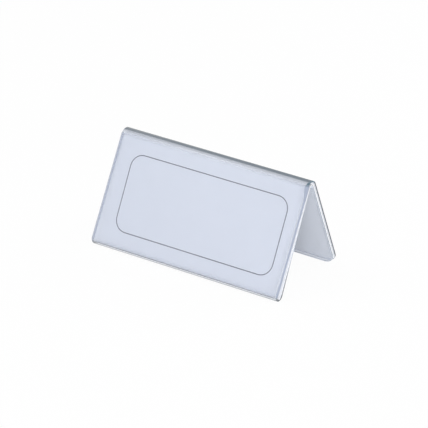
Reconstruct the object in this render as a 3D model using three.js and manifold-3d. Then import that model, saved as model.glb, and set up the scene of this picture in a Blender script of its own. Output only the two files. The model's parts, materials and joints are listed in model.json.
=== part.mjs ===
// Table name holder: a tent bent from one strip of clear film, with a folded card slid between its walls.
// Millimetres and radians. X runs along the ridge, -Y is the front, +Z is up, and the table is z = 0.

import * as THREE from 'three';
import { mergeVertices } from 'three/addons/utils/BufferGeometryUtils.js';
import Module from 'manifold-3d';

// Film strip
const FILM_WIDTH = 100;
const FILM_THICKNESS = 0.7;
const FRONT_LENGTH = 48.8;
const FRONT_LEAN = THREE.MathUtils.degToRad(27);
const REAR_LEAN = THREE.MathUtils.degToRad(25.7);
const RIDGE_RADIUS = 4.05;
const FOOT_RADIUS = 2.8;
const FOOT_FLAT_ANGLE = THREE.MathUtils.degToRad(14);
const CORNER_RADIUS = 5.5;

// Folded card
const CARD_THICKNESS = 0.3;
const CARD_LIFT = 1.4;
const CARD_PROUD = 0.7;

// Room between the card and the film
const FIT_GAP = 0.3;
const FRONT_GAP = 0.42;
const REAR_GAP = 0.77;
const FOLD_GAP = 0.35;

// Finishes
const FILM_FINISH = { color: 0xdbe4f0, roughness: 0.08, metalness: 0, transparent: true, opacity: 0.35 };
const CARD_FINISH = { color: 0xf3f5fb, roughness: 0.85, metalness: 0 };

const ARC_STEPS = 8;
const CUT_MARGIN = 1;

const X_AXIS = new THREE.Vector3(1, 0, 0);
const Y_AXIS = new THREE.Vector3(0, 1, 0);
const Z_AXIS = new THREE.Vector3(0, 0, 1);

const wasm = await Module();
wasm.setup();

// The profile is drawn in the plane across the ridge: its x is the part's Y, and its y is the part's Z.
// A wall is known by the angle of its outward normal, counted from +Y towards +Z.
const frontNormal = Math.PI - FRONT_LEAN;
const rearNormal = REAR_LEAN;

function along(angle, length) {
  return new THREE.Vector2(Math.cos(angle), Math.sin(angle)).multiplyScalar(length);
}

function at(centre, radius, angle) {
  return along(angle, radius).add(centre);
}

// Direction that runs down a wall, a quarter turn from its outward normal.
function downFront(normal) {
  return normal + Math.PI / 2;
}

function downRear(normal) {
  return normal - Math.PI / 2;
}

// Centre of a bend that touches two walls from the inside.
function bendCentre(wallA, wallB, radius) {
  const a = along(wallA.normal, 1);
  const b = along(wallB.normal, 1);
  const reachA = a.dot(wallA.point) - radius;
  const reachB = b.dot(wallB.point) - radius;
  const spread = a.cross(b);
  return new THREE.Vector2(
    (reachA * b.y - reachB * a.y) / spread,
    (reachB * a.x - reachA * b.x) / spread,
  );
}

// Outer tent: the ridge stands over the table by the front panel, its two bends and its lean.
const footHeight = FOOT_RADIUS * Math.cos(FOOT_FLAT_ANGLE / 2);
const ridgeToFoot = along(frontNormal, RIDGE_RADIUS - FOOT_RADIUS)
  .add(along(downFront(frontNormal), FRONT_LENGTH));
const ridge = new THREE.Vector2(0, footHeight - ridgeToFoot.y);
const foot = ridge.clone().add(ridgeToFoot);

// Inner tent: its front wall leaves the foot and comes closer to the front panel towards the ridge.
const trough = FOOT_RADIUS - FILM_THICKNESS;
const frontReach = RIDGE_RADIUS - FILM_THICKNESS - FRONT_GAP - CARD_THICKNESS - FIT_GAP;
const rearReach = RIDGE_RADIUS - FILM_THICKNESS - REAR_GAP - CARD_THICKNESS - FIT_GAP;
const innerTop = at(ridge, frontReach, frontNormal);
const wallRise = innerTop.clone().sub(foot);
const innerNormal = wallRise.angle() + Math.PI - Math.acos(trough / wallRise.length());
const innerBendRadius = RIDGE_RADIUS - FILM_THICKNESS - FOLD_GAP - CARD_THICKNESS - FIT_GAP;
const innerRidge = bendCentre(
  { point: innerTop, normal: innerNormal },
  { point: at(ridge, rearReach, rearNormal), normal: rearNormal },
  innerBendRadius,
);

// A free edge of the film is cut square to the sheet, and its lower corner stands on the table.
function freeEdge(centre, lowRadius) {
  const top = at(centre, lowRadius, rearNormal);
  const length = top.y / Math.cos(REAR_LEAN);
  const low = top.add(along(downRear(rearNormal), length));
  return { low, high: low.clone().add(along(rearNormal, FILM_THICKNESS)) };
}

const outerEdge = freeEdge(ridge, RIDGE_RADIUS - FILM_THICKNESS);
const innerEdge = freeEdge(innerRidge, innerBendRadius - FILM_THICKNESS);

// The strip is followed along one side to its far end, and back along the other.
function filmShape() {
  const shape = new THREE.Shape();
  const turnBack = innerNormal + Math.PI;
  const footFlatStart = 1.5 * Math.PI - FOOT_FLAT_ANGLE / 2;
  const footFlatEnd = 1.5 * Math.PI + FOOT_FLAT_ANGLE / 2;
  const tightBend = innerBendRadius - FILM_THICKNESS;
  shape.moveTo(outerEdge.low.x, outerEdge.low.y);
  shape.lineTo(outerEdge.high.x, outerEdge.high.y);
  shape.absarc(ridge.x, ridge.y, RIDGE_RADIUS, rearNormal, frontNormal, false);
  shape.absarc(foot.x, foot.y, FOOT_RADIUS, frontNormal, footFlatStart, false);
  shape.absarc(foot.x, foot.y, FOOT_RADIUS, footFlatEnd, turnBack, false);
  shape.absarc(innerRidge.x, innerRidge.y, tightBend, innerNormal, rearNormal, true);
  shape.lineTo(innerEdge.low.x, innerEdge.low.y);
  shape.lineTo(innerEdge.high.x, innerEdge.high.y);
  shape.absarc(innerRidge.x, innerRidge.y, innerBendRadius, rearNormal, innerNormal, false);
  shape.absarc(foot.x, foot.y, trough, turnBack, frontNormal, true);
  shape.absarc(ridge.x, ridge.y, RIDGE_RADIUS - FILM_THICKNESS, frontNormal, rearNormal, true);
  shape.closePath();
  return shape;
}

// The card's front half stands in the trough, its fold rides over the inner ridge, and its rear half
// lies on the inner rear leg and stops short of the table.
function cardShape() {
  const half = CARD_THICKNESS / 2;
  const middleTop = at(ridge, frontReach + FIT_GAP + half, frontNormal);
  const cardNormal = foot.clone().sub(middleTop).angle() - Math.PI / 2;
  const foldRadius = innerBendRadius + FIT_GAP + half;
  const fold = bendCentre(
    { point: foot, normal: cardNormal },
    { point: at(ridge, rearReach + FIT_GAP + half, rearNormal), normal: rearNormal },
    foldRadius,
  );
  const standing = Math.sqrt(trough ** 2 - half ** 2) - FIT_GAP;
  const frontEnd = at(foot, standing, downFront(cardNormal));
  const rearTop = at(fold, foldRadius, rearNormal);
  const rearLength = (rearTop.y - CARD_LIFT) / Math.cos(REAR_LEAN);
  const rearEnd = at(rearTop, rearLength, downRear(rearNormal));

  const shape = new THREE.Shape();
  const corners = {
    frontOutside: at(frontEnd, half, cardNormal),
    frontInside: at(frontEnd, -half, cardNormal),
    rearInside: at(rearEnd, -half, rearNormal),
    rearOutside: at(rearEnd, half, rearNormal),
  };
  shape.moveTo(corners.rearInside.x, corners.rearInside.y);
  shape.lineTo(corners.rearOutside.x, corners.rearOutside.y);
  shape.absarc(fold.x, fold.y, foldRadius + half, rearNormal, cardNormal, false);
  shape.lineTo(corners.frontOutside.x, corners.frontOutside.y);
  shape.lineTo(corners.frontInside.x, corners.frontInside.y);
  shape.absarc(fold.x, fold.y, foldRadius - half, cardNormal, rearNormal, true);
  shape.closePath();
  return shape;
}

// A profile drawn across the ridge becomes a solid that runs along it.
function runAlongRidge(shape, width) {
  const geometry = new THREE.ExtrudeGeometry(shape, {
    depth: width,
    bevelEnabled: false,
    curveSegments: ARC_STEPS,
  });
  geometry.translate(0, 0, -width / 2);
  return geometry.applyMatrix4(new THREE.Matrix4().makeBasis(Y_AXIS, Z_AXIS, X_AXIS));
}

// The waste outside one rounded corner of a rear leg, on the side of +X or -X.
// Seen level from behind, a round corner on the leaning leg is lower than it is wide.
function cornerWaste(side, width, bottom) {
  const end = side * width / 2;
  const past = end + side * CUT_MARGIN;
  const under = bottom - CUT_MARGIN;
  const height = CORNER_RADIUS * Math.cos(REAR_LEAN);
  const top = bottom + height;
  const inset = end - side * CORNER_RADIUS;
  const startAngle = side > 0 ? 0 : Math.PI;
  const endAngle = side > 0 ? -Math.PI / 2 : 1.5 * Math.PI;
  const shape = new THREE.Shape();
  shape.moveTo(inset, under);
  shape.lineTo(past, under);
  shape.lineTo(past, top);
  shape.absellipse(inset, top, CORNER_RADIUS, height, startAngle, endAngle, side > 0, 0);
  shape.closePath();

  const reach = outerEdge.high.x + CUT_MARGIN;
  const geometry = new THREE.ExtrudeGeometry(shape, {
    depth: reach,
    bevelEnabled: false,
    curveSegments: ARC_STEPS,
  });
  geometry.translate(0, 0, -reach);
  return geometry.applyMatrix4(new THREE.Matrix4().makeBasis(X_AXIS, Z_AXIS, Y_AXIS.clone().negate()));
}

function toSolid(geometry) {
  const bare = geometry.clone();
  bare.deleteAttribute('normal');
  bare.deleteAttribute('uv');
  const merged = mergeVertices(bare);
  return new wasm.Manifold(new wasm.Mesh({
    numProp: 3,
    vertProperties: new Float32Array(merged.attributes.position.array),
    triVerts: new Uint32Array(merged.index.array),
  }));
}

function toGeometry(solid) {
  const mesh = solid.getMesh();
  const geometry = new THREE.BufferGeometry();
  geometry.setAttribute('position', new THREE.BufferAttribute(mesh.vertProperties, 3));
  geometry.setIndex(new THREE.BufferAttribute(mesh.triVerts, 1));
  geometry.computeVertexNormals();
  return geometry;
}

// A bent sheet with the two corners of its rear end cut round.
function bentSheet(name, shape, width, bottom, finish) {
  const sheet = toSolid(runAlongRidge(shape, width));
  const trimmed = sheet
    .subtract(toSolid(cornerWaste(1, width, bottom)))
    .subtract(toSolid(cornerWaste(-1, width, bottom)));
  const mesh = new THREE.Mesh(toGeometry(trimmed), new THREE.MeshStandardMaterial(finish));
  mesh.name = name;
  return mesh;
}

// The origin is under the middle of the holder, half way between its foot and its rear edge.
const holder = new THREE.Group();
holder.add(
  bentSheet('film_holder', filmShape(), FILM_WIDTH, 0, FILM_FINISH),
  bentSheet('insert_card', cardShape(), FILM_WIDTH + 2 * CARD_PROUD, CARD_LIFT, CARD_FINISH),
);
holder.position.y = -(foot.x - FOOT_RADIUS + outerEdge.high.x) / 2;

export default holder;
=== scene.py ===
# %% [markdown]
# # A table name holder
# The object is a small tent for a meeting table. One strip of clear film is bent over a ridge,
# turned back at the front foot and bent over a second, smaller ridge inside the first. A folded
# white card with a thin printed frame slides into the pocket between the two walls.
#
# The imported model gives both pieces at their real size. This lesson gives them their looks: each
# sheet is modelled again as a bent sheet with soft edges, and each finish is built from nodes.

import json
import math

import bmesh
import bpy
from mathutils import Matrix, Vector

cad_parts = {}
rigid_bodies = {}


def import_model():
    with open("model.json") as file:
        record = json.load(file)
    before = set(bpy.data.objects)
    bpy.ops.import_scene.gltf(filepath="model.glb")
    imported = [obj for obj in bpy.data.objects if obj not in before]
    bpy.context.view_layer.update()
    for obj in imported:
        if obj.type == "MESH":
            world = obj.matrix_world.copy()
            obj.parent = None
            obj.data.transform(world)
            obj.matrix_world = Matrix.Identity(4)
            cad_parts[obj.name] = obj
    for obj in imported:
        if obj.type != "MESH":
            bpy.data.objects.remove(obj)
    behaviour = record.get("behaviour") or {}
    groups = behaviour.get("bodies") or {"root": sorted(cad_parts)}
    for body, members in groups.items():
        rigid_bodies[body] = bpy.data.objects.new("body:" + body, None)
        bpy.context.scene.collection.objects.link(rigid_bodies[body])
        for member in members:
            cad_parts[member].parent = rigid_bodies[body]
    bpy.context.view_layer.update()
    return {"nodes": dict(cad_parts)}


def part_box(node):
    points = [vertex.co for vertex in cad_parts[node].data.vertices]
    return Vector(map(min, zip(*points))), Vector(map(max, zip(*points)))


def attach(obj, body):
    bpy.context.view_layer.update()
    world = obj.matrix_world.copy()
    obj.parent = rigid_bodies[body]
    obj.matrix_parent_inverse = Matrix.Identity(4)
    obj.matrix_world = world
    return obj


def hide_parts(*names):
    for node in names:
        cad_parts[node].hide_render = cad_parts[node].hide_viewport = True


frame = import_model()
print("pieces in the frame:", sorted(frame["nodes"]))

# %% [markdown]
# ## The section of the tent
# Both sheets keep the same section along their whole width, so everything is worked out in the
# plane across the ridge. A wall is known by the angle of its outward normal, counted from the rear,
# +Y, up towards +Z. The box of the film in the frame gives the places: its lowest front point is
# the foot, and its top is the ridge. The thicknesses, leans and radii are the real ones.

# %% Film sizes
MM = 0.001
film_low = Vector(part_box("film_holder")[0])
film_high = Vector(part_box("film_holder")[1])
half_width = (film_high.x - film_low.x) / 2

film_thickness = 0.7 * MM
ridge_radius = 4.05 * MM
foot_radius = 2.8 * MM
foot_flat = math.radians(14)
corner_radius = 5.5 * MM
front_lean = math.radians(27)
rear_lean = math.radians(25.7)
front_normal = math.pi - front_lean
rear_normal = rear_lean

card_thickness = 0.3 * MM
fit_gap = 0.3 * MM
front_gap = 0.42 * MM
rear_gap = 0.77 * MM
fold_gap = 0.35 * MM

# %% Helpers for the section
QUARTER = math.pi / 2


def toward(angle, distance):
    """A step in the plane across the ridge."""
    return Vector((0, math.cos(angle), math.sin(angle))) * distance


def bend_centre(wall_a, wall_b, radius):
    """The centre of a bend that touches two walls, each a point and a normal, from the inside."""
    a = toward(wall_a[1], 1)
    b = toward(wall_b[1], 1)
    reach_a = a.dot(wall_a[0]) - radius
    reach_b = b.dot(wall_b[0]) - radius
    spread = a.y * b.z - a.z * b.y
    y = (reach_a * b.z - reach_b * a.z) / spread
    z = (reach_b * a.y - reach_a * b.y) / spread
    return Vector((0, y, z))


# %% Centres of the film's bends
foot = Vector((0, film_low.y + foot_radius, film_low.z + foot_radius * math.cos(foot_flat / 2)))
ridge = Vector((0, 0, film_high.z - ridge_radius))
rise = ridge.z - foot.z
ridge.y = foot.y - (rise * math.sin(front_normal) + ridge_radius - foot_radius) / math.cos(front_normal)

pocket = film_thickness + card_thickness + fit_gap
front_reach = ridge_radius - pocket - front_gap
rear_reach = ridge_radius - pocket - rear_gap
inner_radius = ridge_radius - pocket - fold_gap
trough = foot_radius - film_thickness

wall_rise = ridge + toward(front_normal, front_reach) - foot
inner_normal = math.atan2(wall_rise.z, wall_rise.y) + math.pi - math.acos(trough / wall_rise.length)
inner_ridge = bend_centre(
    (ridge + toward(front_normal, front_reach), inner_normal),
    (ridge + toward(rear_normal, rear_reach), rear_normal),
    inner_radius,
)
print("ridge", ridge, "inner ridge", inner_ridge, "foot", foot)

# %% [markdown]
# ## Modelling helpers
# An operator acts on whatever is selected, so each step starts by choosing a row of vertices by its
# place. A row here is all the vertices that share one point of the section, from one end of the
# ridge to the other.

# %% Helpers for modelling
NEAR = 0.001 * MM


def add_sheet(name, place, tilt, size):
    """Add a plane whose own Y runs up a leaning wall, name it and enter edit mode."""
    bpy.ops.object.select_all(action="DESELECT")
    bpy.ops.mesh.primitive_plane_add(size=1, location=place, rotation=(tilt, 0, 0))
    sheet = bpy.context.object
    sheet.name = name
    sheet.data.name = name
    sheet.scale = (*size, 1)
    bpy.ops.object.transform_apply(location=True, rotation=True, scale=True)
    bpy.ops.object.mode_set(mode="EDIT")
    return sheet


def select_where(sheet, test):
    """Select the vertices whose place passes the test, and the edges and faces between them."""
    bpy.ops.mesh.select_mode(type="VERT")
    bpy.ops.mesh.select_all(action="DESELECT")
    edit = bmesh.from_edit_mesh(sheet.data)
    for vertex in edit.verts:
        vertex.select = test(vertex.co)
    edit.select_flush(True)
    bmesh.update_edit_mesh(sheet.data)


def select_row(sheet, point):
    """Select the row of vertices that runs along X through a point of the section."""
    select_where(sheet, lambda co: math.hypot(co.y - point.y, co.z - point.z) < NEAR)


def bend_row(centre, turn, steps):
    """Spin the selected row round an axis along X, to the rear if the turn is positive."""
    bpy.ops.mesh.spin(steps=steps, angle=turn, center=centre, axis=(1, 0, 0))


def run_row(angle, *lengths):
    """Carry the selected row straight on, in one stretch for each length."""
    for length in lengths:
        bpy.ops.mesh.extrude_region_move(TRANSFORM_OT_translate={"value": toward(angle, length)})


def apply_modifier(piece, kind, **settings):
    """Add a modifier, set it up and apply it to the mesh."""
    modifier = piece.modifiers.new(kind.title(), kind)
    for key, value in settings.items():
        setattr(modifier, key, value)
    bpy.ops.object.modifier_apply(modifier=modifier.name)


# %% [markdown]
# ## The film strip
# The real holder is cut from flat sheet and bent warm, so the model is made the same way. It could
# be extruded from a drawn outline, but following the sheet keeps its middle surface, and every bend
# keeps the same thickness. The front panel comes first. Its upper edge is spun over the ridge and
# run down the rear leg, its lower edge is spun round the foot, up the inner wall, over the inner
# ridge and down again. A short stretch beside each bend holds the flat panels flat in the shading.

# %% Bend the strip
half_film = film_thickness / 2
SUPPORT = 0.5 * MM
BEND_STEPS = 20
FOOT_STEPS = 24

panel_top = ridge + toward(front_normal, ridge_radius - half_film)
panel_bottom = foot + toward(front_normal, foot_radius - half_film)
panel_length = (panel_top - panel_bottom).length
film = add_sheet(
    "clear_film_tent",
    (panel_top + panel_bottom) / 2,
    front_normal - QUARTER,
    (2 * half_width, panel_length),
)

rear_top = ridge + toward(rear_normal, ridge_radius - half_film)
rear_length = (ridge + toward(rear_normal, ridge_radius - film_thickness)).z / math.cos(rear_normal)
select_row(film, panel_top)
bend_row(ridge, front_normal - rear_normal, BEND_STEPS)
run_row(rear_normal - QUARTER, SUPPORT, rear_length - SUPPORT)

inner_middle = inner_radius - half_film
inner_top = inner_ridge + toward(inner_normal, inner_middle)
turn_back = inner_normal + math.pi
wall_bottom = foot + toward(turn_back, foot_radius - half_film)
wall_length = (inner_top - wall_bottom).length
inner_low = inner_ridge + toward(rear_normal, inner_radius - film_thickness)
inner_length = inner_low.z / math.cos(rear_normal)
select_row(film, panel_bottom)
bend_row(foot, front_normal - turn_back, FOOT_STEPS)
run_row(inner_normal - QUARTER, SUPPORT, wall_length - 2 * SUPPORT, SUPPORT)
bend_row(inner_ridge, inner_normal - rear_normal, BEND_STEPS)
run_row(rear_normal - QUARTER, SUPPORT, inner_length - SUPPORT)
print("front panel", panel_length / MM, "mm, legs", rear_length / MM, inner_length / MM, "mm")

# %% [markdown]
# A spun and extruded strip has no rows on the panels yet. Bisect cuts a few into the front panel,
# at the distances below the ridge bend where the shape of its ends will change.

# %% Cut rows into the front panel
PANEL_ROWS = (0.5, 2, 3.5, 5, 6.5, 42, 48.3)


def cut_row(sheet, point, angle):
    """Cut the front panel by a plane square to it, through a point of the section."""
    select_where(sheet, lambda co: co.y < ridge.y)
    bpy.ops.mesh.bisect(plane_co=point, plane_no=toward(angle, 1))


down_front = front_normal + QUARTER
for below in PANEL_ROWS:
    cut_row(film, panel_top + toward(down_front, below * MM), down_front)
print("rows cut at", PANEL_ROWS, "mm below the ridge bend")

# %% [markdown]
# The two free ends of the strip stand on the table at the rear. Their corners are rounded so that
# they don't scratch: a vertex bevel turns each square corner into an arc that is tangent to both
# edges.

# %% Round the free corners
CORNER_STEPS = 10
down_rear = rear_normal - QUARTER
outer_end = rear_top + toward(down_rear, rear_length)
inner_end = inner_ridge + toward(rear_normal, inner_middle) + toward(down_rear, inner_length)
for end in (outer_end, inner_end):
    select_row(film, end)
    bpy.ops.mesh.bevel(offset=corner_radius, segments=CORNER_STEPS, affect="VERTICES")
print("free corners rounded to", corner_radius / MM, "mm")

# %% [markdown]
# Solidify gives the sheet its thickness to both sides of the middle surface, and marks the cut
# edges with the second material. The normals are made to agree first, because a strip that was spun
# in two directions can hold faces that point both ways. The foot then gets the narrow flat that it
# stands on.

# %% Give the film its thickness
FILM_FINISHES = 3
bpy.ops.mesh.select_all(action="SELECT")
bpy.ops.mesh.remove_doubles(threshold=NEAR)
bpy.ops.mesh.normals_make_consistent(inside=False)
bpy.ops.object.mode_set(mode="OBJECT")
for slot in range(FILM_FINISHES):
    bpy.ops.object.material_slot_add()
apply_modifier(
    film, "SOLIDIFY",
    thickness=film_thickness, offset=0, use_even_offset=True, material_offset_rim=1,
)
bpy.ops.object.mode_set(mode="EDIT")
select_where(film, lambda co: co.z < film_low.z)
bpy.ops.transform.resize(value=(1, 1, 0), center_override=film_low)
print("film strip with its thickness:", len(film.data.polygons), "faces")

# %% [markdown]
# The strip was cut with a tilted blade, so both ends of the front panel slope the same way. At the
# right end the inner side of the sheet stands out further than the outer side, and a blue band of
# cut edge shows from the front. At the left end the outer side stands out and hides the cut. Near
# the ridge the right end was also drawn in when the warm sheet was bent, which leaves a tear-shaped
# face. Moving the end points of one side of the sheet along X, row by row, gives all of this. The
# table below says how far the right end is drawn in, in millimetres, at each distance below the
# ridge bend.

# %% Slant the ends of the front panel
RIGHT = 1
LEFT = -1
SLANT = 0.62 * MM
LEFT_LONG = 0.3 * MM
ROW_REACH = 0.05 * MM
PANEL_END = 48.8
DRAWN_IN = {0: 1.25, 0.5: 1.2, 2: 0.85, 3.5: 0.42, 5: 0.15, 48.3: 0.2, PANEL_END: 0.25}


def shift_end(sheet, point, side, shift):
    """Move the end point of one row, on the side of +X or -X, along the ridge."""

    def at_end(co):
        in_row = math.hypot(co.y - point.y, co.z - point.z) < ROW_REACH
        return in_row and side * co.x > half_width - NEAR

    select_where(sheet, at_end)
    bpy.ops.transform.translate(value=(shift, 0, 0))


def slant_row(sheet, outer, normal, drawn_in, outer_share, under_share):
    """Shift the end points of one row of the outer side and of the row under it."""
    shift_end(sheet, outer, RIGHT, -drawn_in * outer_share)
    shift_end(sheet, outer, LEFT, -LEFT_LONG * outer_share)
    under = outer - toward(normal, film_thickness)
    for side in (RIGHT, LEFT):
        shift_end(sheet, under, side, SLANT * under_share)


for below in (0, *PANEL_ROWS, PANEL_END):
    outer = ridge + toward(front_normal, ridge_radius) + toward(down_front, below * MM)
    slant_row(film, outer, front_normal, DRAWN_IN.get(below, 0) * MM, 1, 1)
print("ends slanted by", SLANT / MM, "mm")

# %% [markdown]
# The slant runs out along the two bends: over the ridge before the rear leg, which is cut square,
# and round the foot before the inner wall.

# %% Let the slant run out
LONG_FADE = 0.75
SHORT_FADE = 0.4


def fading(step, steps, share):
    """1 at the first row of a bend, falling to 0 at a share of its rows."""
    left = max(0, 1 - step / (steps * share))
    return left * left * (3 - 2 * left)


for step in range(1, BEND_STEPS):
    angle = front_normal + (rear_normal - front_normal) * step / BEND_STEPS
    outer = ridge + toward(angle, ridge_radius)
    outer_share = fading(step, BEND_STEPS, LONG_FADE)
    under_share = fading(step, BEND_STEPS, SHORT_FADE)
    slant_row(film, outer, angle, DRAWN_IN[0] * MM, outer_share, under_share)
for step in range(1, FOOT_STEPS):
    angle = front_normal + (turn_back - front_normal) * step / FOOT_STEPS
    outer = foot + toward(angle, foot_radius)
    share = fading(step, FOOT_STEPS, SHORT_FADE)
    slant_row(film, outer, angle, DRAWN_IN[PANEL_END] * MM, share, share)
print("slant fades over", LONG_FADE, "of the ridge bend and", SHORT_FADE, "of the foot's turn")

# %% [markdown]
# The cut edges of the inner tent lie in the shade of the outer one and pick up its light, so they
# get a finish of their own. Their faces are those that lie closer to the middle of the ridge than
# the card does.

# %% Mark the cut edges of the inner tent
EDGE = 1
INNER_EDGE = 2
CARD_REACH = 2.75 * MM


def select_faces(sheet, test):
    """Select the faces that pass the test."""
    bpy.ops.mesh.select_mode(type="FACE")
    bpy.ops.mesh.select_all(action="DESELECT")
    edit = bmesh.from_edit_mesh(sheet.data)
    for face in edit.faces:
        face.select_set(test(face))
    bmesh.update_edit_mesh(sheet.data)


def assign(piece, slot):
    """Give the selected faces one of the piece's materials."""
    piece.active_material_index = slot
    bpy.ops.object.material_slot_assign()


def in_inner_tent(co):
    """True for a point of the section that lies inside the card."""
    out = Vector((0, co.y - ridge.y, co.z - ridge.z))
    if rear_normal < math.atan2(out.z, out.y) < front_normal:
        return out.length < CARD_REACH
    return max(out.dot(toward(front_normal, 1)), out.dot(toward(rear_normal, 1))) < CARD_REACH


def is_inner_edge(face):
    """True for a cut edge of the inner tent."""
    return face.material_index == EDGE and in_inner_tent(face.calc_center_median())


select_faces(film, is_inner_edge)
assign(film, INNER_EDGE)
bpy.ops.object.mode_set(mode="OBJECT")
inner_faces = [face for face in film.data.polygons if face.material_index == INNER_EDGE]
print("inner cut edges:", len(inner_faces), "faces")

# %% [markdown]
# A cut edge of film is never razor sharp: trimming and handling leave a tiny round that catches the
# light. A bevel on the sharp edges alone gives it, and smooth shading by angle keeps the flat
# panels flat.

# %% Soften the film's edges
EDGE_ROUND = 0.07 * MM
SHARP = math.radians(50)
SMOOTH = math.radians(40)
apply_modifier(film, "BEVEL", width=EDGE_ROUND, segments=2, limit_method="ANGLE", angle_limit=SHARP)
bpy.ops.object.shade_smooth_by_angle(angle=SMOOTH)
print("film:", len(film.data.polygons), "faces")

# %% [markdown]
# ## The folded card
# The insert is a white card folded once. Its front half stands in the trough of the foot, the fold
# rides over the inner ridge, and the rear half hangs behind it. The two legs of the card follow
# from the film around them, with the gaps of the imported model.

# %% Section of the card
card_low, card_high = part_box("insert_card")
card_middle = (card_low.x + card_high.x) / 2
card_width = card_high.x - card_low.x
half_card = card_thickness / 2
CARD_LIFT = 1.4 * MM

card_rise = ridge + toward(front_normal, front_reach + fit_gap + half_card) - foot
card_normal = math.atan2(card_rise.z, card_rise.y) + QUARTER
fold_radius = inner_radius + fit_gap + half_card
fold = bend_centre(
    (foot, card_normal),
    (ridge + toward(rear_normal, rear_reach + fit_gap + half_card), rear_normal),
    fold_radius,
)
standing = math.sqrt(trough ** 2 - half_card ** 2) - fit_gap

front_top = fold + toward(card_normal, fold_radius)
front_end = foot + toward(card_normal + QUARTER, standing)
back_top = fold + toward(rear_normal, fold_radius)
back_length = (back_top.z - CARD_LIFT) / math.cos(rear_normal)
back_end = back_top + toward(down_rear, back_length)
print("card halves:", (front_top - front_end).length / MM, back_length / MM, "mm")

# %% [markdown]
# Each half carries a thin printed frame with round corners. A line that thin could be drawn by the
# material, but as faces of its own it stays sharp in every view and in the mesh itself. The frame
# starts as a plane of its outer size with its corners bevelled. An inset as wide as the line leaves
# a ring for the ink. The half itself is a second, larger plane: its face is deleted, and the paper
# is filled in between it and the ring. The outer face is a darker copy of the same white paper,
# which is painted shade, and the inside and the edges are bare paper. The three materials are made
# now, with their nodes to follow, because joined pieces match them by name.

# %% Helpers for the card
card_paper = bpy.data.materials.new("matt_card_paper")
# the outer face's finish is painted shade: the same board as the paper, darker
card_outer_shade = bpy.data.materials.new("shaded_card_face")
frame_ink = bpy.data.materials.new("grey_frame_ink")
OUTER_SHADE = 1
INK = 2
LINE_WIDTH = 0.45 * MM
FRAME_SIZE = (84.97 * MM, 36.72 * MM)
FRAME_CORNER = 6.3 * MM
FRAME_CORNER_STEPS = 12


def printed_frame(name, middle, normal):
    """A rounded panel with a ring of ink round it, lying on one half of the card."""
    panel = add_sheet(name, middle, normal - QUARTER, FRAME_SIZE)
    for material in (card_paper, card_outer_shade, frame_ink):
        panel.data.materials.append(material)
    bpy.ops.mesh.select_all(action="SELECT")
    bpy.ops.mesh.bevel(offset=FRAME_CORNER, segments=FRAME_CORNER_STEPS, affect="VERTICES")
    bpy.ops.mesh.select_all(action="SELECT")
    assign(panel, INK)
    bpy.ops.mesh.inset(thickness=LINE_WIDTH)
    assign(panel, OUTER_SHADE)
    bpy.ops.object.mode_set(mode="OBJECT")
    return panel


def card_half(name, top, end, normal, frame_middle, corner):
    """One half of the card, rounded at its low end by corner and filled up to its printed frame."""
    middle = (top + end) / 2
    middle.x = card_middle
    panel = printed_frame(name + "_frame", frame_middle, normal)
    half = add_sheet(name, middle, normal - QUARTER, (card_width, (top - end).length))
    if corner:
        select_row(half, end)
        bpy.ops.mesh.bevel(offset=corner, segments=CORNER_STEPS, affect="VERTICES")
    bpy.ops.mesh.select_all(action="SELECT")
    bpy.ops.mesh.delete(type="ONLY_FACE")
    bpy.ops.object.mode_set(mode="OBJECT")
    half.select_set(True)
    panel.select_set(True)
    bpy.context.view_layer.objects.active = panel
    bpy.ops.object.join()
    bpy.ops.object.mode_set(mode="EDIT")
    bpy.ops.mesh.select_mode(type="EDGE")
    bpy.ops.mesh.select_all(action="DESELECT")
    bpy.ops.mesh.select_non_manifold()
    bpy.ops.mesh.fill()
    assign(panel, OUTER_SHADE)
    bpy.ops.object.mode_set(mode="OBJECT")
    return panel


# %% [markdown]
# The frame stands nearer the fold than the foot and, as prints often are, half a millimetre off the
# middle of the card. The rear half hangs upside down behind the front one, so its frame is measured
# from the fold too.

# %% Print and join the halves
FRAME_BELOW_FOLD = 5.575 * MM
FRAME_SHIFT = 0.56 * MM


def frame_place(top, down):
    """The middle of the printed frame on a half that runs down from its top."""
    place = top + toward(down, FRAME_BELOW_FOLD + FRAME_SIZE[1] / 2)
    place.x = card_middle + FRAME_SHIFT
    return place


front_frame = frame_place(front_top, card_normal + QUARTER)
back_frame = frame_place(back_top, down_rear)
front_half = card_half("card_front", front_top, front_end, card_normal, front_frame, 0)
back_half = card_half("card_back", back_top, back_end, rear_normal, back_frame, corner_radius)
print("printed frames:", FRAME_SIZE[0] / MM, "by", FRAME_SIZE[1] / MM, "mm")

# %% [markdown]
# The fold is spun from the top edge of the front half to the top edge of the rear half, where its
# last row is merged. The rear half is cut a little narrower than the front one, and the fold runs
# from one width to the other. Solidify then gives the card its thickness, and an offset in the
# materials leaves the inside and the edges bare.

# %% Fold the card
FOLD_STEPS = 16
REAR_NARROW = 0.75 * MM
bpy.ops.object.select_all(action="DESELECT")
back_half.select_set(True)
front_half.select_set(True)
bpy.context.view_layer.objects.active = front_half
bpy.ops.object.join()
card = front_half
card.name = "folded_card"
card.data.name = "folded_card"
bpy.ops.object.mode_set(mode="EDIT")
select_row(card, front_top)
bend_row(fold, card_normal - rear_normal, FOLD_STEPS)
select_faces(card, lambda face: face.material_index != INK)
assign(card, OUTER_SHADE)
bpy.ops.mesh.select_all(action="SELECT")
bpy.ops.mesh.remove_doubles(threshold=NEAR)
bpy.ops.mesh.normals_make_consistent(inside=False)


def narrow(short):
    """Draw both ends of the selected vertices in along the ridge."""
    share = 1 - 2 * short / card_width
    bpy.ops.transform.resize(value=(share, 1, 1), center_override=(card_middle, 0, 0))


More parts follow.
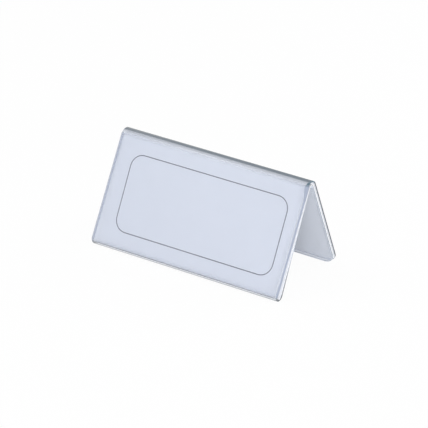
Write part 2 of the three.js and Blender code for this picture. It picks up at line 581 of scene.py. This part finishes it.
select_where(card, lambda co: co.y > back_top.y + NEAR)
narrow(REAR_NARROW)
for step in range(1, FOLD_STEPS + 1):
    angle = card_normal + (rear_normal - card_normal) * step / FOLD_STEPS
    select_row(card, fold + toward(angle, fold_radius))
    narrow(REAR_NARROW * step / FOLD_STEPS)
bpy.ops.object.mode_set(mode="OBJECT")
apply_modifier(
    card, "SOLIDIFY",
    thickness=card_thickness, offset=0, use_even_offset=True,
    material_offset=-INK, material_offset_rim=-INK,
)
CARD_EDGE = 0.04 * MM
apply_modifier(card, "BEVEL", width=CARD_EDGE, segments=1, limit_method="ANGLE", angle_limit=SHARP)
bpy.ops.object.shade_smooth_by_angle(angle=SMOOTH)
print("card:", len(card.data.polygons), "faces")

# %% [markdown]
# ## Finishes
# A finish is a small graph of nodes. Written as sums it stays readable: the first class below wraps
# the output of a node, so that an expression such as `1 - mask` adds the Math node for it. The
# second builds a graph, and its one method adds any other node from its type, its settings and its
# sockets.

# %% Helpers for the nodes


class Signal:
    """An output of a shader node that can be used in sums with numbers and other signals."""

    def __init__(self, graph, output):
        self.graph = graph
        self.output = output

    def named(self, name):
        """Another output of the same node."""
        return Signal(self.graph, self.output.node.outputs[name])

    def math(self, operation, first, second):
        return self.graph.node("Math", {"operation": operation}, {0: first, 1: second})

    def __add__(self, other):
        return self.math("ADD", self, other)

    __radd__ = __add__

    def __sub__(self, other):
        return self.math("SUBTRACT", self, other)

    def __rsub__(self, other):
        return self.math("SUBTRACT", other, self)

    def __mul__(self, other):
        return self.math("MULTIPLY", self, other)

    __rmul__ = __mul__

    def __pow__(self, other):
        return self.math("POWER", self, other)

    def clamped(self):
        """The same signal, held between 0 and 1."""
        return self.graph.node("Clamp", {}, {"Value": self})


class Graph:
    """The node tree of a material or of the world."""

    def __init__(self, owner):
        owner.use_nodes = True
        self.output = "OutputWorld" if isinstance(owner, bpy.types.World) else "OutputMaterial"
        self.tree = owner.node_tree
        self.tree.nodes.clear()

    def node(self, kind, settings, sockets):
        """Add a node, set it up, then set or link its sockets, and give its first usable output."""
        made = self.tree.nodes.new("ShaderNode" + kind)
        for key, value in settings.items():
            setattr(made, key, value)
        for key, value in sockets.items():
            if isinstance(value, Signal):
                self.tree.links.new(value.output, made.inputs[key])
            else:
                made.inputs[key].default_value = value
        usable = [output for output in made.outputs if output.enabled]
        return Signal(self, usable[0]) if usable else None

    def place(self):
        """The point on the object, in its own metres."""
        return self.node("TexCoord", {}, {}).named("Object")

    def along(self, direction):
        """How far the point lies along a direction."""
        dot = self.node("VectorMath", {"operation": "DOT_PRODUCT"}, {0: self.place(), 1: direction})
        return dot.named("Value")

    def ramp(self, value, start, end):
        """0 before start, 1 after end, and a smooth rise between them."""
        return self.node(
            "MapRange", {"interpolation_type": "SMOOTHSTEP"},
            {"Value": value, "From Min": start, "From Max": end},
        )

    def noise(self, grain, detail):
        """Soft noise from 0 to 1, with features about as large as the grain."""
        return self.node("TexNoise", {}, {"Vector": self.place(), "Scale": 1 / grain, "Detail": detail})

    def blend(self, mask, low, high):
        """One colour where the mask is 0 and another where it is 1."""
        return self.node("Mix", {"data_type": "RGBA"}, {0: mask, 6: low, 7: high})

    def bump(self, height, distance, strength):
        return self.node("Bump", {}, {"Height": height, "Distance": distance, "Strength": strength})

    def mix(self, share, first, second):
        """A share of the second shader over the first."""
        return self.node("MixShader", {}, {0: share, 1: first, 2: second})

    def show(self, shader):
        """Send a shader to the surface."""
        self.node(self.output, {}, {"Surface": shader})


# %% [markdown]
# ### Paper and ink
# The card is a smooth matt board. Up close it has a faint mottle and a fine fibre, and no gloss.
# The mottle is large soft noise in the colour, the fibre is small noise in the bump. A thin board
# also lets a little light through, which brightens the inside of the tent, so the paper has
# subsurface scattering about as deep as the board is thick. The ink lies flat on the same board and
# shares its fibre. It is denser in some places than in others.

# %% Paper
MOTTLE = 6 * MM
FIBRE = 0.35 * MM
FIBRE_RELIEF = 0.012 * MM


def paper_grain(graph):
    """The bump of the board's fibre."""
    return graph.bump(graph.noise(FIBRE, 3), FIBRE_RELIEF, 0.5)


def board(finish, dark, light):
    """Matt board with a mottle between two close colours."""
    graph = Graph(finish)
    graph.show(graph.node("BsdfPrincipled", {}, {
        "Base Color": graph.blend(graph.noise(MOTTLE, 4), dark, light),
        "Roughness": 0.82 + 0.1 * graph.noise(FIBRE, 2),
        "Subsurface Weight": 1,
        "Subsurface Radius": (1, 1, 1),
        "Subsurface Scale": card_thickness,
        "Specular IOR Level": 0.25,
        "Normal": paper_grain(graph),
    }))


board(card_paper, (0.925, 0.945, 0.975, 1), (0.95, 0.965, 0.995, 1))
# the outer face: a darker copy of the same board, which is painted shade
board(card_outer_shade, (0.738, 0.747, 0.775, 1), (0.765, 0.772, 0.80, 1))

# %% Ink
INK_GRAIN = 0.5 * MM
ink = Graph(frame_ink)
ink_colour = ink.blend(ink.noise(INK_GRAIN, 3), (0.09, 0.09, 0.115, 1), (0.15, 0.15, 0.18, 1))
ink.show(ink.node("BsdfPrincipled", {}, {
    "Base Color": ink_colour,
    "Roughness": 0.55 + 0.15 * ink.noise(FIBRE, 2),
    "Specular IOR Level": 0.3,
    "Normal": paper_grain(ink),
}))
print("card finishes:", [material.name for material in card.data.materials])

# %% [markdown]
# ### Clear film
# The sheet is clear plastic with a faint blue tint. A true glass shader would bend the light in a
# wall this thin for nothing and leave the card behind it dark, so the body is mixed from three
# simple shaders: a tinted Transparent lets the card show, a little soft haze takes some light, and
# a mirror is weak when seen square on and strong at a glance, as it is on any clear plastic.
#
# Over the ridge and round the foot the film is darker, and that is painted shade: a dark haze
# stands in for the shade seen through the bent sheet. Masks by height put it in: the ridge is the
# top of the tent, and the foot is its lowest front part. Beside the ridge a paler fringe of the
# painted shade softens the change. Along the cut ends of the outer tent a grey haze is painted
# shade too, over the card in the pocket behind the cut. Along the bottom of the rear legs a pale
# haze greys the floor seen under the card.

# %% Masks on the film
RIDGE_SHADE_BELOW_TOP = (0.7 * MM, 0.05 * MM)
SHADE_FRINGE_BELOW_TOP = (1.6 * MM, 1 * MM)
FOOT_SHADE_TOP = (2.0 * MM, 1.2 * MM)
FOOT_SHADE_LOW = (0.3 * MM, 0.8 * MM)
REAR_RIM = (1.8 * MM, 1.4 * MM)
END_INSIDE = 1.3 * MM
END_BEYOND = 0.3 * MM
SIDE_BLUR = 0.1 * MM
film_body = bpy.data.materials.new("clear_film_body")
film_graph = Graph(film_body)
height = film_graph.along((0, 0, 1))
depth = film_graph.along((0, 1, 0))

top = film_high.z
# painted shade over the ridge, with a paler fringe of it just below
ridge_shade = film_graph.ramp(height, top - RIDGE_SHADE_BELOW_TOP[0], top - RIDGE_SHADE_BELOW_TOP[1])
ridge_shade_fringe = film_graph.ramp(height, top - SHADE_FRINGE_BELOW_TOP[0], top - SHADE_FRINGE_BELOW_TOP[1])
in_front = film_graph.ramp(depth, 0, -1 * MM)
# painted shade round the foot, on the front side only
foot_shade_band = film_graph.ramp(height, *FOOT_SHADE_TOP) * film_graph.ramp(height, *FOOT_SHADE_LOW)
foot_shade = foot_shade_band * in_front
rear_rim = film_graph.ramp(height, *REAR_RIM) * (1 - in_front)

across = film_graph.along((1, 0, 0))
# painted shade along the cut ends: the outer tent's front, and its rear leg beyond the card
near_end = film_graph.ramp(
    across * across,
    (half_width - END_INSIDE) ** 2,
    (half_width + END_BEYOND) ** 2,
)
rear_out = toward(rear_normal, 1)
card_reach = ridge.dot(rear_out) + CARD_REACH
outer_rear = film_graph.ramp(film_graph.along(rear_out), card_reach - SIDE_BLUR, card_reach + SIDE_BLUR)
end_shade = near_end * (0.45 * in_front + 0.85 * outer_rear)

# %% [markdown]
# The masks now set the colour of the haze and of the painted shade, and how much of each there
# is. Old smudges, as large soft noise, add a little haze and dull the mirror here and there, and a
# very low wave keeps the panels from being dead flat.

# %% Shaders of the film
SMUDGE = 14 * MM
smudge = film_graph.noise(SMUDGE, 5)
PALE_HAZE = (0.80, 0.83, 0.90, 1)
# the colour of the painted shade along the cut ends
END_SHADE_COLOUR = (0.56, 0.58, 0.63, 1)
# the colour of the painted shade round the foot
FOOT_SHADE_COLOUR = (0.36, 0.38, 0.41, 1)
# the colour of the painted shade over the ridge
RIDGE_SHADE_COLOUR = (0.16, 0.19, 0.225, 1)
pale_colour = film_graph.blend(end_shade, PALE_HAZE, END_SHADE_COLOUR)
low_colour = film_graph.blend(foot_shade, pale_colour, FOOT_SHADE_COLOUR)
haze_and_shade_colour = film_graph.blend(ridge_shade, low_colour, RIDGE_SHADE_COLOUR)
# how much painted shade the ridge and the foot get
bend_shade = 0.55 * ridge_shade + 0.4 * ridge_shade_fringe + 0.75 * foot_shade
haze_and_shade_share = (0.02 + 0.015 * smudge + 0.52 * rear_rim + end_shade + bend_shade).clamped()

WAVE = 11 * MM
WAVE_RELIEF = 0.01 * MM
film_wave = film_graph.bump(film_graph.noise(WAVE, 1), WAVE_RELIEF, 0.15)
FILM_TINT = (0.955, 0.968, 0.992, 1)
clear = film_graph.node("BsdfTransparent", {}, {"Color": FILM_TINT})
haze_and_shade = film_graph.node("BsdfPrincipled", {}, {
    "Base Color": haze_and_shade_colour,
    "Roughness": 0.35,
    "Specular IOR Level": 0,
})
gloss = film_graph.node("BsdfGlossy", {}, {
    "Roughness": 0.17 + 0.05 * smudge,
    "Normal": film_wave,
})
HEAD_ON = 0.04
glance = film_graph.node("LayerWeight", {}, {"Blend": 0.5}).named("Facing")
mirror_share = HEAD_ON + (1 - HEAD_ON) * glance ** 5
film_graph.show(film_graph.mix(mirror_share, film_graph.mix(haze_and_shade_share, clear, haze_and_shade), gloss))
print("film body:", len(film_graph.tree.nodes), "nodes")

# %% [markdown]
# ### Cut edges
# Light that travels inside the sheet comes out at its cut edges, so they show far more of the tint
# than the panels do. A nearly solid blue grey stands for that. Its changes round the tent are
# painted shade and painted light: on the outer tent it is darkest over the ridge, dark on the rear
# leg and round the foot, and pale blue on the front panel. The edges of the inner tent are paler,
# painted light from the outer tent. Fine noise along the edge is the mark of the blade.

# %% Edges
BLADE = 0.12 * MM
BLADE_RELIEF = 0.01 * MM
EDGE_BELOW_TOP = (2.2 * MM, 0.7 * MM)
BEHIND = (0, 3 * MM)
REAR_PALE = (4 * MM, 1 * MM)
EDGE_TINT = (0.85, 0.90, 0.96, 1)


def edge_finish(name, dark_below, ridge_colour, front_colour, foot_colour, rear_colour):
    """A finish for cut edges that blends four colours round the tent, the foot's below a height."""
    finish = bpy.data.materials.new(name)
    graph = Graph(finish)
    height = graph.along((0, 0, 1))
    over_ridge = graph.ramp(height, top - EDGE_BELOW_TOP[0], top - EDGE_BELOW_TOP[1])
    near_foot = graph.ramp(height, dark_below, 0.35 * dark_below)
    behind = graph.ramp(graph.along((0, 1, 0)), *BEHIND)
    blade = graph.noise(BLADE, 2)
    front = graph.blend(near_foot, front_colour, foot_colour)
    rear = graph.blend(graph.ramp(height, *REAR_PALE), rear_colour, front_colour)
    colour = graph.blend(over_ridge, graph.blend(behind, front, rear), ridge_colour)
    solid = graph.node("BsdfPrincipled", {}, {
        "Base Color": colour,
        "Roughness": 0.3 + 0.3 * blade,
        "Normal": graph.bump(blade, BLADE_RELIEF, 0.4),
    })
    clear = graph.node("BsdfTransparent", {}, {"Color": EDGE_TINT})
    graph.show(graph.mix(0.9 + 0.1 * blade, clear, solid))
    return finish


# painted shade: the darker edge colours over the ridge, on the rear leg and round the foot
film_edge = edge_finish(
    "film_cut_edge",
    dark_below=3.5 * MM,
    ridge_colour=(0.10, 0.155, 0.195, 1),
    front_colour=(0.335, 0.375, 0.47, 1),
    foot_colour=(0.16, 0.18, 0.19, 1),
    rear_colour=(0.05, 0.058, 0.07, 1),
)
# painted light: the paler edges of the inner tent, lit from the outer one
inner_edge = edge_finish(
    "inner_cut_edge",
    dark_below=20 * MM,
    ridge_colour=(0.58, 0.74, 0.90, 1),
    front_colour=(0.56, 0.62, 0.71, 1),
    foot_colour=(0.13, 0.145, 0.16, 1),
    rear_colour=(0.40, 0.45, 0.52, 1),
)
for slot, finish in enumerate((film_body, film_edge, inner_edge)):
    film.material_slots[slot].material = finish
print("film finishes:", [slot.material.name for slot in film.material_slots])

# %% [markdown]
# ## Who moves with whom
# The film stands still on the table and the card slides along the ridge. Each new sheet takes the
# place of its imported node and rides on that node's body.

# %% Ride on the bodies
for piece, node_name, body, slot in (
    (film, "film_holder", "holder", "clear_film"),
    (card, "insert_card", "card", "white_card"),
):
    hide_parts(node_name)
    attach(piece, body)
    print(piece.name, "stands for", node_name, "and rides on", body)

# %% [markdown]
# ## Floor, light and camera
# The floor is a pale plane. To the camera and in reflections most of it is plain white, and the
# rest is a matt grey that still takes a faint shadow. The world lights the piece evenly. One soft
# lamp from the front left draws the bright line along the ridge, a low one from the right reaches
# into the open end of the tent, and one behind lights the rear leg. The low lamp isn't mirrored in
# the film, where it would leave a glare.

# %% Floor
FLOOR_SIZE = 6.0
FLOOR_DROP = 0.05 * MM
FLOOR_WHITE = 0.96
bpy.ops.object.select_all(action="DESELECT")
bpy.ops.mesh.primitive_plane_add(size=FLOOR_SIZE, location=(0, 0, -FLOOR_DROP))
floor = bpy.context.object
floor.name = "pale_floor"


def seen_directly(graph):
    """1 for rays from the camera, from a mirror or through glass, and 0 for light that scatters."""
    path = graph.node("LightPath", {}, {})
    return path.named("Is Camera Ray") + path.named("Is Glossy Ray") + path.named("Is Transmission Ray")


floor_finish = bpy.data.materials.new("pale_floor")
floor_graph = Graph(floor_finish)
floor_graph.show(floor_graph.mix(
    FLOOR_WHITE * seen_directly(floor_graph),
    floor_graph.node("BsdfDiffuse", {}, {"Color": (0.9, 0.9, 0.91, 1)}),
    floor_graph.node("Emission", {}, {"Color": (1, 1, 1, 1), "Strength": 1}),
))
floor.data.materials.append(floor_finish)

# %% World and lamps
WORLD_LEVEL = 0.57
world = bpy.data.worlds.new("soft_studio")
bpy.context.scene.world = world
world_graph = Graph(world)
world_graph.show(world_graph.node("Background", {}, {
    "Color": (1, 1, 1, 1),
    "Strength": WORLD_LEVEL + (1 - WORLD_LEVEL) * seen_directly(world_graph),
}))


def direction(around, up):
    """A unit vector seen from the object: around from the front towards +X, and up from the table."""
    return Vector((math.sin(around) * math.cos(up), -math.cos(around) * math.cos(up), math.sin(up)))


def turned_to(around, up, roll):
    """The rotation of a lamp or camera that looks back along that direction."""
    level = Matrix.Rotation(around, 3, "Z") @ Matrix.Rotation(QUARTER - up, 3, "X")
    return (level @ Matrix.Rotation(roll, 3, "Z")).to_euler()


def soft_lamp(name, around, up, away, size, power, mirrored):
    """A lamp of a width and a height that shines from a direction in degrees."""
    shine = bpy.data.lights.new(name, "AREA")
    shine.shape = "RECTANGLE"
    shine.size, shine.size_y = size
    shine.energy = power
    lamp = bpy.data.objects.new(name, shine)
    bpy.context.collection.objects.link(lamp)
    lamp.location = direction(math.radians(around), math.radians(up)) * away
    lamp.rotation_euler = turned_to(math.radians(around), math.radians(up), 0)
    lamp.visible_glossy = mirrored


SOFTBOX = (0.45, 0.45)
LOW_PANEL = (1.0, 0.4)
soft_lamp("ridge_lamp", around=-48, up=48, away=0.7, size=SOFTBOX, power=1.4, mirrored=True)
soft_lamp("low_fill", around=45, up=10, away=1.0, size=LOW_PANEL, power=6.0, mirrored=False)
soft_lamp("back_lamp", around=150, up=30, away=0.7, size=SOFTBOX, power=1.6, mirrored=True)

# %% [markdown]
# The camera stands to the right of the front, a little above the table, and looks through a long
# lens, so that the edges of the tent stay almost parallel.

# %% Camera
CAMERA_AROUND = math.radians(32.983)
CAMERA_UP = math.radians(24.929)
CAMERA_ROLL = math.radians(1.639)
CAMERA_AWAY = 1302.87 * MM
CAMERA_AIM = Vector((-0.755, -0.135, 19.690)) * MM
SENSOR = 36
LENS = 241.42

camera_data = bpy.data.cameras.new("camera")
camera_data.sensor_width = SENSOR
camera_data.lens = LENS
camera = bpy.data.objects.new("camera", camera_data)
bpy.context.collection.objects.link(camera)
camera.location = CAMERA_AIM + direction(CAMERA_AROUND, CAMERA_UP) * CAMERA_AWAY
camera.rotation_euler = turned_to(CAMERA_AROUND, CAMERA_UP, CAMERA_ROLL)
bpy.context.scene.camera = camera
bpy.context.scene.view_settings.view_transform = "Standard"
print("camera at", camera.location)
